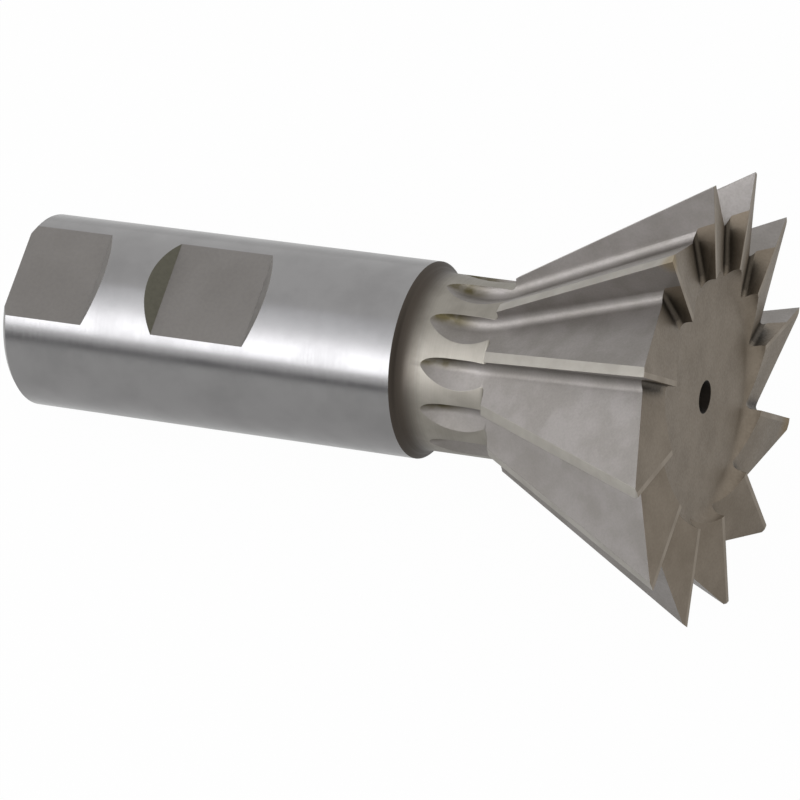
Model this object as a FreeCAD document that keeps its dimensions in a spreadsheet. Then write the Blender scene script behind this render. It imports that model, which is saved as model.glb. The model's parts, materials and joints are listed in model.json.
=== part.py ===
import FreeCAD, Part
import Sketcher
import math
import os

# Dovetail milling cutter in one piece: a conical head of straight-edged teeth, widest at its free
# end, a relieved neck and a round clamping shank with two flats.
#
# The cutter is modelled about its own axis. Z runs along the axis towards the teeth, and z = 0 is the
# plane of the tooth tips. X runs out along the first tooth, whose rake face lies in the XZ plane, and
# Y points the way the teeth cut. A last placement lays the tool down as it rests on a table.

# Driving sizes, millimetres and degrees
SIZES = {
    "head_diameter": 57.15,
    "head_width": 26.99,
    "cutting_angle": 60,
    "shank_diameter": 25.4,
    "overall_length": 95.25,
    "shoulder_distance": 39.4,
    "neck_diameter": 22.8,
    "head_fillet": 0.8,
    "shoulder_fillet": 1.9,
    "shoulder_edge_break": 0.3,
    "shank_chamfer": 0.6,
    "recess_diameter": 32.6,
    "recess_depth": 2.2,
    "recess_wall_angle": 45,
    "dish_angle": 0.8,
    "front_centre_diameter": 4.2,
    "rear_centre_diameter": 6.4,
    "centre_angle": 60,
    "pilot_diameter": 2.0,
    "pilot_length": 2.5,
    "drill_point_angle": 118,
    "flat_depth": 1.905,
    "rear_flat_length": 11.65,
    "flat_web": 10.2,
    "front_flat_length": 13.08,
    "flat_wall_angle": 45,
    "flat_turn": 7.8,
    "tooth_count": 12,
    "tooth_depth": 6.15,
    "small_end_depth": 2.15,
    "flute_fillet": 1.3,
    "wheel_radius": 12,
    "runout_gap": 3.2,
    "land_width": 1.25,
    "land_relief": 8,
    "end_land": 0.7,
    "end_land_relief": 5,
    "end_relief": 15,
    "gash_fillet": 0.6,
}

# How far cutting outlines reach past the metal
MARGIN = 1.0

# Sizes worked out from the driving sizes, in the order in which they depend on each other
LAYOUT = {
    "pitch": "360 / Sizes.tooth_count",
    "cone": "90 - Sizes.cutting_angle",
    "tip_radius": "Sizes.head_diameter / 2",
    "small_radius": "Layout.tip_radius - Sizes.head_width * tan(Layout.cone)",
    "neck_radius": "Sizes.neck_diameter / 2",
    "shank_radius": "Sizes.shank_diameter / 2",
    "shoulder_radius": "Layout.shank_radius - Sizes.shoulder_edge_break",
    "recess_radius": "Sizes.recess_diameter / 2",
    "flat_radius": "Layout.shank_radius - Sizes.flat_depth",
    # Drop of the dished end face at the rim of the recess
    "rim_drop": "(Layout.tip_radius - Layout.recess_radius) * tan(Sizes.dish_angle)",
    # Heel of the next tooth's land, in the plane of the tips: out along this tooth, and across to it
    "heel_radius": "Layout.tip_radius - Sizes.land_width * tan(Sizes.land_relief) / cos(Layout.cone)",
    "heel_across": "Layout.heel_radius * sin(Layout.pitch) - Sizes.land_width * cos(Layout.pitch)",
    "heel_out": "Layout.heel_radius * cos(Layout.pitch) + Sizes.land_width * sin(Layout.pitch)",
    # Root line of a flute, from its radius at the tips down to the neck, leaning in by root_lean
    "root_radius": "Layout.tip_radius - Sizes.tooth_depth",
    "root_fall": "Layout.root_radius - Layout.small_radius + Sizes.small_end_depth",
    "root_lean": "atan(Layout.root_fall / Sizes.head_width) / 1 deg",
    # Where the run-out leaves the neck, along the root line and above it
    "runout_height": "Sizes.runout_gap - Sizes.shoulder_distance",
    "exit_along": "(Layout.neck_radius - Layout.root_radius) * sin(Layout.root_lean)"
                  " + Layout.runout_height * cos(Layout.root_lean)",
    "exit_above": "(Layout.neck_radius - Layout.root_radius) * cos(Layout.root_lean)"
                  " - Layout.runout_height * sin(Layout.root_lean)",
    # Point of the root line where the cut starts to curve out on the wheel's radius
    "turn_along": "Layout.exit_along"
                  " + sqrt(Sizes.wheel_radius ^ 2 - (Sizes.wheel_radius - Layout.exit_above) ^ 2)",
    "turn_out": "Layout.root_radius + Layout.turn_along * sin(Layout.root_lean)",
    "turn_height": "Layout.turn_along * cos(Layout.root_lean)",
    # Back wall of a flute: from the root fillet up to the next tooth's heel
    "heel_above": "(Layout.heel_out - Layout.root_radius) * cos(Layout.root_lean)",
    "wall_rise": "Layout.heel_above - Sizes.flute_fillet",
    "wall_run": "Layout.heel_across - Sizes.flute_fillet",
    "wall_reach": "sqrt(Layout.wall_rise ^ 2 + Layout.wall_run ^ 2)",
    "wall_angle": "(atan(Layout.wall_rise / Layout.wall_run)"
                  " + asin(Sizes.flute_fillet / Layout.wall_reach)) / 1 deg",
    # End gash: its floor falls outwards, and its facet rises to the land of the next end tooth
    "gash_slope": "atan(tan(Sizes.end_relief) * sin(Layout.pitch)"
                  " - tan(Sizes.dish_angle) * cos(Layout.pitch)) / 1 deg",
    "gash_height": "(tan(Sizes.end_relief) - tan(Sizes.end_land_relief)) * Sizes.end_land"
                   " - tan(Sizes.dish_angle) * Layout.tip_radius",
    "facet_angle": "atan((tan(Sizes.end_relief) * cos(Layout.pitch)"
                   " + tan(Sizes.dish_angle) * sin(Layout.pitch)) * cos(Layout.gash_slope)) / 1 deg",
    "gash_setback": "Sizes.gash_fillet / tan(45 - Layout.facet_angle / 2)",
}


# Document, sheet of driving sizes and set of worked-out sizes
def make_document():
    document = FreeCAD.newDocument("DovetailCutter")
    sheet = document.addObject("Spreadsheet::Sheet", "Sizes")
    for row, (name, value) in enumerate(SIZES.items(), start=1):
        sheet.set(f"A{row}", name)
        sheet.set(f"B{row}", str(value))
        sheet.setAlias(f"B{row}", name)
    document.recompute()
    layout = document.addObject("App::VarSet", "Layout")
    for name, formula in LAYOUT.items():
        layout.addProperty("App::PropertyFloat", name, "Layout")
        layout.setExpression(name, formula)
        document.recompute()
    return document


def origin_feature(body, role):
    return next(item for item in body.Origin.OriginFeatures if item.Role == role)


# Sketch on one of the body's own planes, moved and turned by expressions
def add_sketch(body, name, plane, offset=None, turn_axis=FreeCAD.Vector(0, 0, 1), turn="0"):
    sketch = body.newObject("Sketcher::SketchObject", name)
    sketch.AttachmentSupport = [(origin_feature(body, plane), "")]
    sketch.MapMode = "FlatFace"
    angle = float(sketch.evalExpression(turn))
    sketch.AttachmentOffset = FreeCAD.Placement(FreeCAD.Vector(), FreeCAD.Rotation(turn_axis, angle))
    sketch.setExpression(".AttachmentOffset.Rotation.Angle", turn)
    for axis, formula in (offset or {}).items():
        sketch.setExpression(f".AttachmentOffset.Base.{axis}", formula)
    return sketch


def value_of(sketch, formula):
    return float(sketch.evalExpression(formula))


def pin(sketch, edge, end, corner):
    for kind, formula in zip(("DistanceX", "DistanceY"), corner):
        size = value_of(sketch, formula)
        index = sketch.addConstraint(Sketcher.Constraint(kind, -1, 1, edge, end, size))
        sketch.setExpression(f"Constraints[{index}]", formula)


# Arc between two points, bulging to the right of the way from first to last (side 1) or to the left
# (side -1). A sketch keeps its arcs counter-clockwise, so a left-hand arc is drawn from its last point.
def add_bend(sketch, first, last, radius, side):
    across = last - first
    right = FreeCAD.Vector(across.y, -across.x, 0).normalize()
    rise = math.sqrt(max(radius ** 2 - across.Length ** 2 / 4, 0))
    centre = first + across * 0.5 - right * rise * side
    angles = [math.atan2(point.y - centre.y, point.x - centre.x) for point in (first, last)]
    if side < 0:
        angles.reverse()
    circle = Part.Circle(centre, FreeCAD.Vector(0, 0, 1), radius)
    edge = sketch.addGeometry(Part.ArcOfCircle(circle, *angles), False)
    return edge, (1, 2) if side > 0 else (2, 1)


# Closed outline with every corner bound to expressions; bends gives radius and side of the arcs
def draw_outline(sketch, corners, bends=None):
    points = [FreeCAD.Vector(value_of(sketch, x), value_of(sketch, y), 0) for x, y in corners]
    edges = []
    for number, point in enumerate(points):
        following = points[(number + 1) % len(points)]
        if number not in (bends or {}):
            edges.append((sketch.addGeometry(Part.LineSegment(point, following), False), (1, 2)))
            continue
        formula, side = bends[number]
        radius = value_of(sketch, formula)
        edge, ends = add_bend(sketch, point, following, radius, side)
        edges.append((edge, ends))
        index = sketch.addConstraint(Sketcher.Constraint("Radius", edge, radius))
        sketch.setExpression(f"Constraints[{index}]", formula)
    for number, corner in enumerate(corners):
        edge, (start, _) = edges[number]
        previous, (_, finish) = edges[number - 1]
        sketch.addConstraint(Sketcher.Constraint("Coincident", previous, finish, edge, start))
        pin(sketch, edge, start, corner)


# Straight-through cut, the same way as the sketch's normal or to both sides of it
def add_pocket(body, name, sketch, both_sides=False):
    pocket = body.newObject("PartDesign::Pocket", name)
    pocket.Profile = sketch
    pocket.Type = "ThroughAll"
    pocket.SideType = "Symmetric" if both_sides else "One side"
    pocket.Reversed = not both_sides
    return pocket


# A feature that cuts nothing shows no error, so its volume is compared with the last one
def settle(document, body, feature, adds=False):
    before = 0.0 if body.Shape.isNull() else body.Shape.Volume
    body.Tip = feature
    document.recompute()
    change = feature.Shape.Volume - before
    print(f"{feature.Name}: volume {feature.Shape.Volume:.1f}, change {change:.1f}")
    if (change <= 0) if adds else (change >= 0):
        raise RuntimeError(f"{feature.Name} changes nothing")


# Centre hole in an end face: mouth, countersink, pilot and drill point, as radius and height
def centre_hole(mouth_diameter, face_height, inward):
    mouth = f"{mouth_diameter} / 2"
    pilot = "Sizes.pilot_diameter / 2"
    sink = f"({mouth} - {pilot}) / tan(Sizes.centre_angle / 2)"
    point = f"{pilot} / tan(Sizes.drill_point_angle / 2)"
    return [
        (mouth, face_height),
        (pilot, f"{face_height} {inward} {sink}"),
        (pilot, f"{face_height} {inward} ({sink} + Sizes.pilot_length)"),
        ("0", f"{face_height} {inward} ({sink} + Sizes.pilot_length + {point})"),
    ]


# Turned blank: recessed end face, cone, neck with its two fillets, shank and both centre holes. Its
# profile stands in the rake plane of the sixth tooth, so the seam of the round faces misses the flats.
def turn_blank(document, body):
    sketch = add_sketch(body, "TurnedProfile", "XZ_Plane",
                        turn_axis=FreeCAD.Vector(0, 1, 0), turn="5 * Layout.pitch")
    rim_height = "-Layout.rim_drop"
    floor_end = ("Layout.recess_radius"
                 " - (Sizes.recess_depth - Layout.rim_drop) / tan(Sizes.recess_wall_angle)")
    fillet_start = ("-Sizes.shoulder_distance + sqrt(Sizes.shoulder_fillet ^ 2"
                    " - (Layout.neck_radius + Sizes.shoulder_fillet - Layout.shoulder_radius) ^ 2)")
    front = list(reversed(centre_hole("Sizes.front_centre_diameter", "-Sizes.recess_depth", "-")))
    rear = centre_hole("Sizes.rear_centre_diameter", "-Sizes.overall_length", "+")
    outside = [
        (floor_end, "-Sizes.recess_depth"),
        ("Layout.recess_radius", rim_height),
        ("Layout.tip_radius", "0"),
        ("Layout.small_radius", "-Sizes.head_width"),
        ("Layout.neck_radius + Sizes.head_fillet", "-Sizes.head_width"),
        ("Layout.neck_radius", "-Sizes.head_width - Sizes.head_fillet"),
        ("Layout.neck_radius", fillet_start),
        ("Layout.shoulder_radius", "-Sizes.shoulder_distance"),
        ("Layout.shank_radius", "-Sizes.shoulder_distance - Sizes.shoulder_edge_break"),
        ("Layout.shank_radius", "-Sizes.overall_length + Sizes.shank_chamfer"),
        ("Layout.shank_radius - Sizes.shank_chamfer", "-Sizes.overall_length"),
    ]
    first = len(front)
    bends = {
        first + 4: ("Sizes.head_fillet", 1),
        first + 6: ("Sizes.shoulder_fillet", 1),
    }
    draw_outline(sketch, front + outside + rear, bends)
    blank = body.newObject("PartDesign::Revolution", "Blank")
    blank.Profile = sketch
    blank.ReferenceAxis = (sketch, ["V_Axis"])
    blank.Angle = 360
    settle(document, body, blank, adds=True)


# Two clamping flats in one line along the shank, with sloping end walls; the rear one is open
def mill_flats(document, body):
    sketch = add_sketch(body, "FlatProfiles", "XZ_Plane",
                        turn_axis=FreeCAD.Vector(0, 1, 0), turn="Sizes.flat_turn")
    top = f"Layout.shank_radius + {MARGIN}"
    spread = f"(Sizes.flat_depth + {MARGIN}) / tan(Sizes.flat_wall_angle)"
    past_end = f"-Sizes.overall_length - {MARGIN}"
    rear_end = "-Sizes.overall_length + Sizes.rear_flat_length"
    front_start = f"{rear_end} + Sizes.flat_web"
    front_end = f"{front_start} + Sizes.front_flat_length"
    draw_outline(sketch, [
        ("Layout.flat_radius", past_end),
        ("Layout.flat_radius", rear_end),
        (top, f"{rear_end} + {spread}"),
        (top, past_end),
    ])
    draw_outline(sketch, [
        ("Layout.flat_radius", front_start),
        ("Layout.flat_radius", front_end),
        (top, f"{front_end} + {spread}"),
        (top, f"{front_start} - {spread}"),
    ])
    settle(document, body, add_pocket(body, "Flats", sketch, both_sides=True))


# Section of one flute, square to its root line where the run-out starts. In the sketch X is the
# height above the root line and Y the distance in front of the rake face.
def flute_section(body):
    sketch = add_sketch(body, "FluteSection", "XY_Plane",
                        {"x": "Layout.turn_out", "z": "Layout.turn_height"},
                        FreeCAD.Vector(0, 1, 0), "Layout.root_lean")
    top = f"Sizes.wheel_radius - {MARGIN}"
    side = f"Layout.heel_across + {MARGIN}"
    draw_outline(sketch, [
        (top, "0"),
        ("Sizes.flute_fillet", "0"),
        ("Sizes.flute_fillet * (1 - cos(Layout.wall_angle))",
         "Sizes.flute_fillet * (1 + sin(Layout.wall_angle))"),
        (f"Layout.heel_above + {MARGIN} * tan(Layout.wall_angle)", side),
        (top, side),
    ], {1: ("Sizes.flute_fillet", -1)})
    return sketch


def add_wheel_axis(sketch):
    edge = sketch.addGeometry(
        Part.LineSegment(FreeCAD.Vector(1, 0, 0), FreeCAD.Vector(1, 1, 0)), True)
    pin(sketch, edge, 1, ("Sizes.wheel_radius", "0"))
    pin(sketch, edge, 2, ("Sizes.wheel_radius", "Sizes.wheel_radius"))


# One flute: straight through the head, then out through the neck on the radius of the wheel
def cut_flute(document, body):
    section = flute_section(body)
    straight = add_pocket(body, "FluteStraight", section)
    settle(document, body, straight)
    curved_section = flute_section(body)
    curved_section.Label = "RunoutSection"
    add_wheel_axis(curved_section)
    runout = body.newObject("PartDesign::Groove", "FluteRunout")
    runout.Profile = curved_section
    runout.ReferenceAxis = (curved_section, ["Axis0"])
    runout.Angle = 90
    runout.Reversed = True
    settle(document, body, runout)
    return [straight, runout]


# Relief behind a cutting edge: all above a line that falls away from the edge
def relief_corners(width, relief):
    behind = f"({width} + {MARGIN} / 2)"
    ahead = f"{MARGIN} / 2"
    return [
        (f"{ahead} * tan({relief})", ahead),
        (f"-{behind} * tan({relief})", f"-{behind}"),
        (str(MARGIN), f"-{behind}"),
        (str(MARGIN), ahead),
    ]


# Relieved land along the side cutting edge; the sketch is square to the edge
def relieve_side_land(document, body):
    reach = f"(Sizes.head_width + {MARGIN})"
    sketch = add_sketch(body, "SideLandRelief", "XY_Plane",
                        {"x": f"Layout.tip_radius - {reach} * tan(Layout.cone)", "z": f"-{reach}"},
                        FreeCAD.Vector(0, 1, 0), "Layout.cone")
    draw_outline(sketch, relief_corners("Sizes.land_width", "Sizes.land_relief"))
    relief = add_pocket(body, "SideLand", sketch)
    settle(document, body, relief)
    return relief


# End gash: rake wall, small fillet and a facet up to the next end tooth; the sketch stands on the
# axis, square to the floor of the gash
def cut_gash(document, body):
    sketch = add_sketch(body, "GashSection", "YZ_Plane", {"y": "Layout.gash_height"},
                        FreeCAD.Vector(1, 0, 0), "Layout.gash_slope")
    side = f"Layout.heel_across + {MARGIN}"
    top = "Sizes.tooth_depth"
    draw_outline(sketch, [
        ("0", top),
        ("0", "Layout.gash_setback"),
        ("Layout.gash_setback * cos(Layout.facet_angle)",
         "Layout.gash_setback * sin(Layout.facet_angle)"),
        (side, f"({side}) * tan(Layout.facet_angle)"),
        (side, top),
    ], {1: ("Sizes.gash_fillet", 1)})
    gash = add_pocket(body, "Gash", sketch)
    settle(document, body, gash)
    return gash


# Relieved land along the end cutting edge
def relieve_end_land(document, body):
    sketch = add_sketch(body, "EndLandRelief", "YZ_Plane",
                        {"y": "-Layout.tip_radius * tan(Sizes.dish_angle)"},
                        FreeCAD.Vector(-1, 0, 0), "Sizes.dish_angle")
    corners = relief_corners("Sizes.end_land", "Sizes.end_land_relief")
    draw_outline(sketch, [(across, above) for above, across in corners])
    relief = add_pocket(body, "EndLand", sketch)
    settle(document, body, relief)
    return relief


# The same cuts all round the axis
def repeat_round(document, body, name, cuts):
    pattern = body.newObject("PartDesign::PolarPattern", name)
    pattern.Originals = cuts
    pattern.Axis = (origin_feature(body, "Z_Axis"), [""])
    pattern.Angle = 360
    pattern.setExpression("Occurrences", "Sizes.tooth_count")
    settle(document, body, pattern)


# Rest on a table: two neighbouring tips and the rear edge of the shank touch it, and the turned-down
# side is the one half-way between teeth that shows the flats to a viewer at the front
def lay_down(body, layout, sheet):
    spaces_to_down = 5.5
    down = spaces_to_down * layout.pitch
    tip_depth = layout.tip_radius * math.cos(math.radians(layout.pitch / 2))
    shank_run = sheet.get("overall_length") - sheet.get("shank_chamfer")
    tilt = math.degrees(math.atan2(tip_depth - layout.shank_radius, shank_run))
    about_axis = FreeCAD.Rotation(FreeCAD.Vector(0, 0, 1), -down)
    onto_table = FreeCAD.Rotation(FreeCAD.Vector(0, 1, 0), 90 - tilt)
    turned = onto_table.multiply(about_axis)
    body.Placement = FreeCAD.Placement(FreeCAD.Vector(), turned)
    box = body.Shape.optimalBoundingBox(False)
    middle = FreeCAD.Vector((box.XMin + box.XMax) / 2, (box.YMin + box.YMax) / 2, box.ZMin)
    body.Placement = FreeCAD.Placement(middle * -1, turned)


def check(document, body):
    for item in document.Objects:
        if "Invalid" in item.State or "Error" in item.State:
            raise RuntimeError(f"{item.Name} failed: {item.State}")
    shape = body.Shape
    if shape.isNull() or not shape.isValid() or len(shape.Solids) != 1:
        raise RuntimeError(f"{body.Label} is not one valid solid")


def main():
    document = make_document()
    body = document.addObject("PartDesign::Body", "Cutter")
    body.Label = "dovetail_cutter"
    turn_blank(document, body)
    mill_flats(document, body)
    repeat_round(document, body, "Flutes", cut_flute(document, body))
    repeat_round(document, body, "Gashes", [cut_gash(document, body)])
    repeat_round(document, body, "SideLands", [relieve_side_land(document, body)])
    repeat_round(document, body, "EndLands", [relieve_end_land(document, body)])
    lay_down(body, document.getObject("Layout"), document.getObject("Sizes"))
    check(document, body)
    os.makedirs("parts", exist_ok=True)
    body.Shape.exportStep(f"parts/{body.Label}.step")


main()
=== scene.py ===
"""Dressed model of a dovetail milling cutter, lying on a pale table under soft studio light.

The cutter is made here the way it is made in the shop: a blank is turned, flats are milled on its
shank, and the same cutters are then sent round its head. Each surface keeps the finish of the tool
that made it. All of this happens in the tool's own frame (Z along its axis towards the teeth, the
tooth tips at z = 0) and in millimetres, and the finished mesh is laid down where the frame has it.
"""
import json
import logging
from dataclasses import dataclass, field
from enum import Enum
from math import asin, atan, atan2, cos, hypot, pi, radians, sin, sqrt, tan
from typing import Any, Callable, Optional, Sequence

import bmesh
import bpy
from mathutils import Matrix, Vector


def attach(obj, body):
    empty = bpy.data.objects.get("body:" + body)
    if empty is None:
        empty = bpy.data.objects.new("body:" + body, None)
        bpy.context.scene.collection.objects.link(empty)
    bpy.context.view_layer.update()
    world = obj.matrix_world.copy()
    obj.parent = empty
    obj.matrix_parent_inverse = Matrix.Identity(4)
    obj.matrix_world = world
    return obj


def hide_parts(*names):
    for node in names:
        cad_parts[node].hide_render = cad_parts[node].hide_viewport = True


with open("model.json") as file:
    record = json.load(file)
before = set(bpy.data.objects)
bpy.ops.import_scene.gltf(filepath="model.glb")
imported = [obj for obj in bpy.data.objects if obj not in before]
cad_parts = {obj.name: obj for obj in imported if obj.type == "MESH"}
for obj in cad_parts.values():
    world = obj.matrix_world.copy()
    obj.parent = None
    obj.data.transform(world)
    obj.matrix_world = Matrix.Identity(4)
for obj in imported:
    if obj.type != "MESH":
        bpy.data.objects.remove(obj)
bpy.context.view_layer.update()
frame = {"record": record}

LOG = logging.getLogger("dovetail_cutter")
MM = 0.001
NODE = "dovetail_cutter"
PIECE = "cutter_body"

# Radius to which sharp edges are stoned, and the distance within which two corners are one
EDGE_BREAK_MM = 0.08
SAME_CORNER_MM = 1e-5

# Spans of a noise's values, and how strong each finer layer is beside the one before it
NOISE_MIDDLE = (0.35, 0.65)
NOISE_WIDE = (0.3, 0.7)
NOISE_LAYER_SHARE = 0.55

# How open to the air a point is deep in a corner, and out of it
CORNER_AIR = (0.45, 0.95)

# Numbers of a Mix node's sockets for colours: its share, both colours and the result
MIX_SHARE, MIX_FIRST, MIX_SECOND, MIX_RESULT = 0, 6, 7, 2

Point = tuple[float, float]


class Finish(Enum):
    """The finishes that the steel has, by the way each surface was made."""

    GROUND_SHANK = "ground_shank_steel"
    MILLED_FLAT = "milled_flat_steel"
    TURNED_NECK = "turned_neck_steel"
    MILLED_FLUTE = "milled_flute_steel"
    GROUND_LAND = "ground_land_steel"
    END_LAND = "ground_end_land_steel"
    END_FACE = "milled_end_face_steel"


@dataclass(frozen=True)
class CutterSizes:
    """Sizes of the cutter in millimetres and degrees, the same as its solid has."""

    head_diameter: float = 57.15
    head_width: float = 26.99
    cutting_angle: float = 60.0
    shank_diameter: float = 25.4
    overall_length: float = 95.25
    shoulder_distance: float = 39.4
    neck_diameter: float = 22.8
    head_fillet: float = 0.8
    shoulder_fillet: float = 1.9
    shoulder_edge_break: float = 0.3
    shank_chamfer: float = 0.6
    recess_diameter: float = 32.6
    recess_depth: float = 2.2
    recess_fillet: float = 2.2
    dish_angle: float = 0.8
    front_centre_diameter: float = 4.2
    rear_centre_diameter: float = 6.4
    centre_angle: float = 60.0
    pilot_diameter: float = 2.0
    pilot_length: float = 2.5
    drill_point_angle: float = 118.0
    flat_depth: float = 1.905
    rear_flat_length: float = 11.65
    flat_web: float = 10.2
    front_flat_length: float = 13.08
    flat_wall_angle: float = 45.0
    flat_turn: float = 7.8
    tooth_count: int = 12
    tooth_depth: float = 6.15
    small_end_depth: float = 2.15
    flute_fillet: float = 1.3
    wheel_radius: float = 12.0
    runout_gap: float = 3.2
    land_width: float = 1.25
    land_relief: float = 8.0
    end_land: float = 0.7
    end_land_relief: float = 5.0
    end_relief: float = 15.0
    gash_fillet: float = 0.6

    @property
    def tip_radius(self) -> float:
        """Radius of the tooth tips."""
        return self.head_diameter / 2

    @property
    def shank_radius(self) -> float:
        """Radius of the shank."""
        return self.shank_diameter / 2

    @property
    def neck_radius(self) -> float:
        """Radius of the neck."""
        return self.neck_diameter / 2

    @property
    def cone(self) -> float:
        """Angle between the tool's axis and a side cutting edge, in radians."""
        return radians(90 - self.cutting_angle)

    @property
    def pitch(self) -> float:
        """Angle from one tooth to the next, in radians."""
        return 2 * pi / self.tooth_count

    @property
    def small_radius(self) -> float:
        """Radius of the head where it meets the neck."""
        return self.tip_radius - self.head_width * tan(self.cone)


def mount(name: str) -> dict[str, Any]:
    """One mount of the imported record.

    Args:
        name: The mount's name.

    Returns:
        The record's entry for it.
    """
    return next(entry for entry in frame["record"]["mounts"] if entry["name"] == name)


def placement(sizes: CutterSizes) -> Matrix:
    """The tool's own frame, in metres, as the mounts of the frame place it.

    Args:
        sizes: The cutter's sizes.

    Returns:
        The matrix from the tool's frame to the part's frame.
    """
    axis = Vector(mount("front_centre")["axis"]).normalized()
    flat_normal = Vector(mount("front_flat")["axis"]).normalized()
    out = Matrix.Rotation(-radians(sizes.flat_turn), 3, axis) @ flat_normal
    across = axis.cross(out)
    origin = Vector(mount("rear_centre")["pos_m"]) + axis * sizes.overall_length * MM
    matrix = Matrix((out, across, axis)).transposed().to_4x4()
    matrix.translation = origin
    return matrix


@dataclass(frozen=True)
class TipStain:
    """A brown stain at one tooth's tip, which reaches so many millimetres.

    It is at its full depth within the core, a share of its reach.
    """

    tooth: int
    reach: float
    depth: float
    colour: str
    core: float = 0.3


@dataclass(frozen=True)
class WornTip:
    """A tooth's tip that use has rounded to this radius in millimetres."""

    tooth: int
    radius: float


SIZES = CutterSizes()
PLACEMENT = placement(SIZES)
STAINED_TIPS = (TipStain(7, 4.5, 0.75, "7d6432"), TipStain(0, 3.0, 0.45, "8f7a48"))
WORN_TIPS = (WornTip(7, 0.7), WornTip(2, 0.35), WornTip(5, 0.12), WornTip(6, 0.12))


# Small tools for shader trees

def linear(hex_colour: str) -> tuple[float, float, float, float]:
    """Turns an sRGB hex colour into linear values.

    Args:
        hex_colour: Six hex digits.

    Returns:
        Red, green, blue and an alpha of 1.
    """
    channels = [int(hex_colour[place:place + 2], 16) / 255 for place in (0, 2, 4)]
    red, green, blue = (
        value / 12.92 if value <= 0.04045 else ((value + 0.055) / 1.055) ** 2.4 for value in channels)
    return red, green, blue, 1.0


def add_node(tree: bpy.types.NodeTree, kind: str, inputs: Optional[dict[Any, Any]] = None,
             **settings: Any) -> bpy.types.Node:
    """Adds a node with its settings, values and links.

    Args:
        tree: The tree that gets the node.
        kind: The node's type name.
        inputs: Socket name or number to a value, or to the output socket that feeds it.
        settings: Properties of the node.

    Returns:
        The new node.
    """
    node = tree.nodes.new(kind)
    for name, value in settings.items():
        setattr(node, name, value)
    for key, value in (inputs or {}).items():
        socket = node.inputs[key]
        if isinstance(value, bpy.types.NodeSocket):
            tree.links.new(value, socket)
        else:
            socket.default_value = value
    return node


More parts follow.
